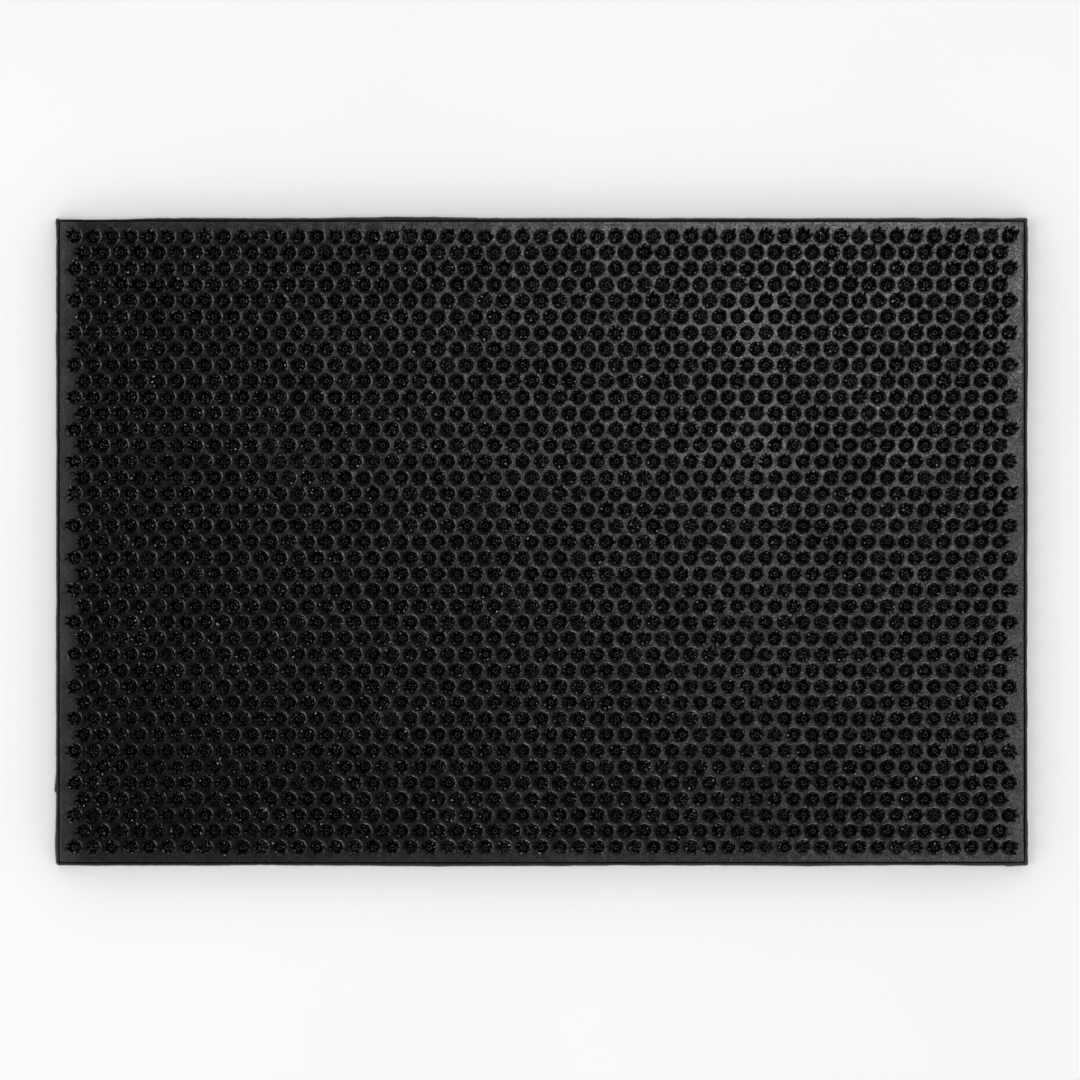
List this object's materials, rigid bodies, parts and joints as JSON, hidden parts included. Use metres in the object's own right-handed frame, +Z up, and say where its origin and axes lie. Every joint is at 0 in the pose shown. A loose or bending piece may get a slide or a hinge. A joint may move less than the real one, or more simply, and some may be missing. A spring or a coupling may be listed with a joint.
{
  "type": "door mat",
  "caption": "Rectangular rubber door mat with staggered rows of short bristle tufts on a flat sheet, for scraping dirt off shoes.",
  "frame": {"origin": "centre of the underside, on the floor", "axes": "+X along the long side, +Y towards the back long edge, +Z up through the bristles"},
  "size_m": [0.6, 0.4, 0.012],
  "materials": {
    "sheet_rubber": "matte, finely grained, with a faint grey bloom",
    "lip_rubber": "matte moulded edge, trimmed by hand",
    "bristle_rubber": "satin black, smoother than the sheet"
  },
  "bodies": {
    "root": {"base_sheet": "sheet_rubber", "lip_front": "lip_rubber", "lip_back": "lip_rubber", "lip_left": "lip_rubber", "lip_right": "lip_rubber", "tuft_row_01": "bristle_rubber", "tuft_row_02": "bristle_rubber", "tuft_row_03": "bristle_rubber", "tuft_row_04": "bristle_rubber", "tuft_row_05": "bristle_rubber", "tuft_row_06": "bristle_rubber", "tuft_row_07": "bristle_rubber", "tuft_row_08": "bristle_rubber", "tuft_row_09": "bristle_rubber", "tuft_row_10": "bristle_rubber", "tuft_row_11": "bristle_rubber", "tuft_row_12": "bristle_rubber", "tuft_row_13": "bristle_rubber", "tuft_row_14": "bristle_rubber", "tuft_row_15": "bristle_rubber", "tuft_row_16": "bristle_rubber", "tuft_row_17": "bristle_rubber", "tuft_row_18": "bristle_rubber", "tuft_row_19": "bristle_rubber", "tuft_row_20": "bristle_rubber", "tuft_row_21": "bristle_rubber", "tuft_row_22": "bristle_rubber", "tuft_row_23": "bristle_rubber", "tuft_row_24": "bristle_rubber", "tuft_row_25": "bristle_rubber", "tuft_row_26": "bristle_rubber", "tuft_row_27": "bristle_rubber", "tuft_row_28": "bristle_rubber", "tuft_row_29": "bristle_rubber", "tuft_row_30": "bristle_rubber", "tuft_row_31": "bristle_rubber", "tuft_row_32": "bristle_rubber", "tuft_row_33": "bristle_rubber", "tuft_row_34": "bristle_rubber", "tuft_row_35": "bristle_rubber", "tuft_row_36": "bristle_rubber", "tuft_row_37": "bristle_rubber", "tuft_row_38": "bristle_rubber", "tuft_row_39": "bristle_rubber"}
  },
  "joints": []
}
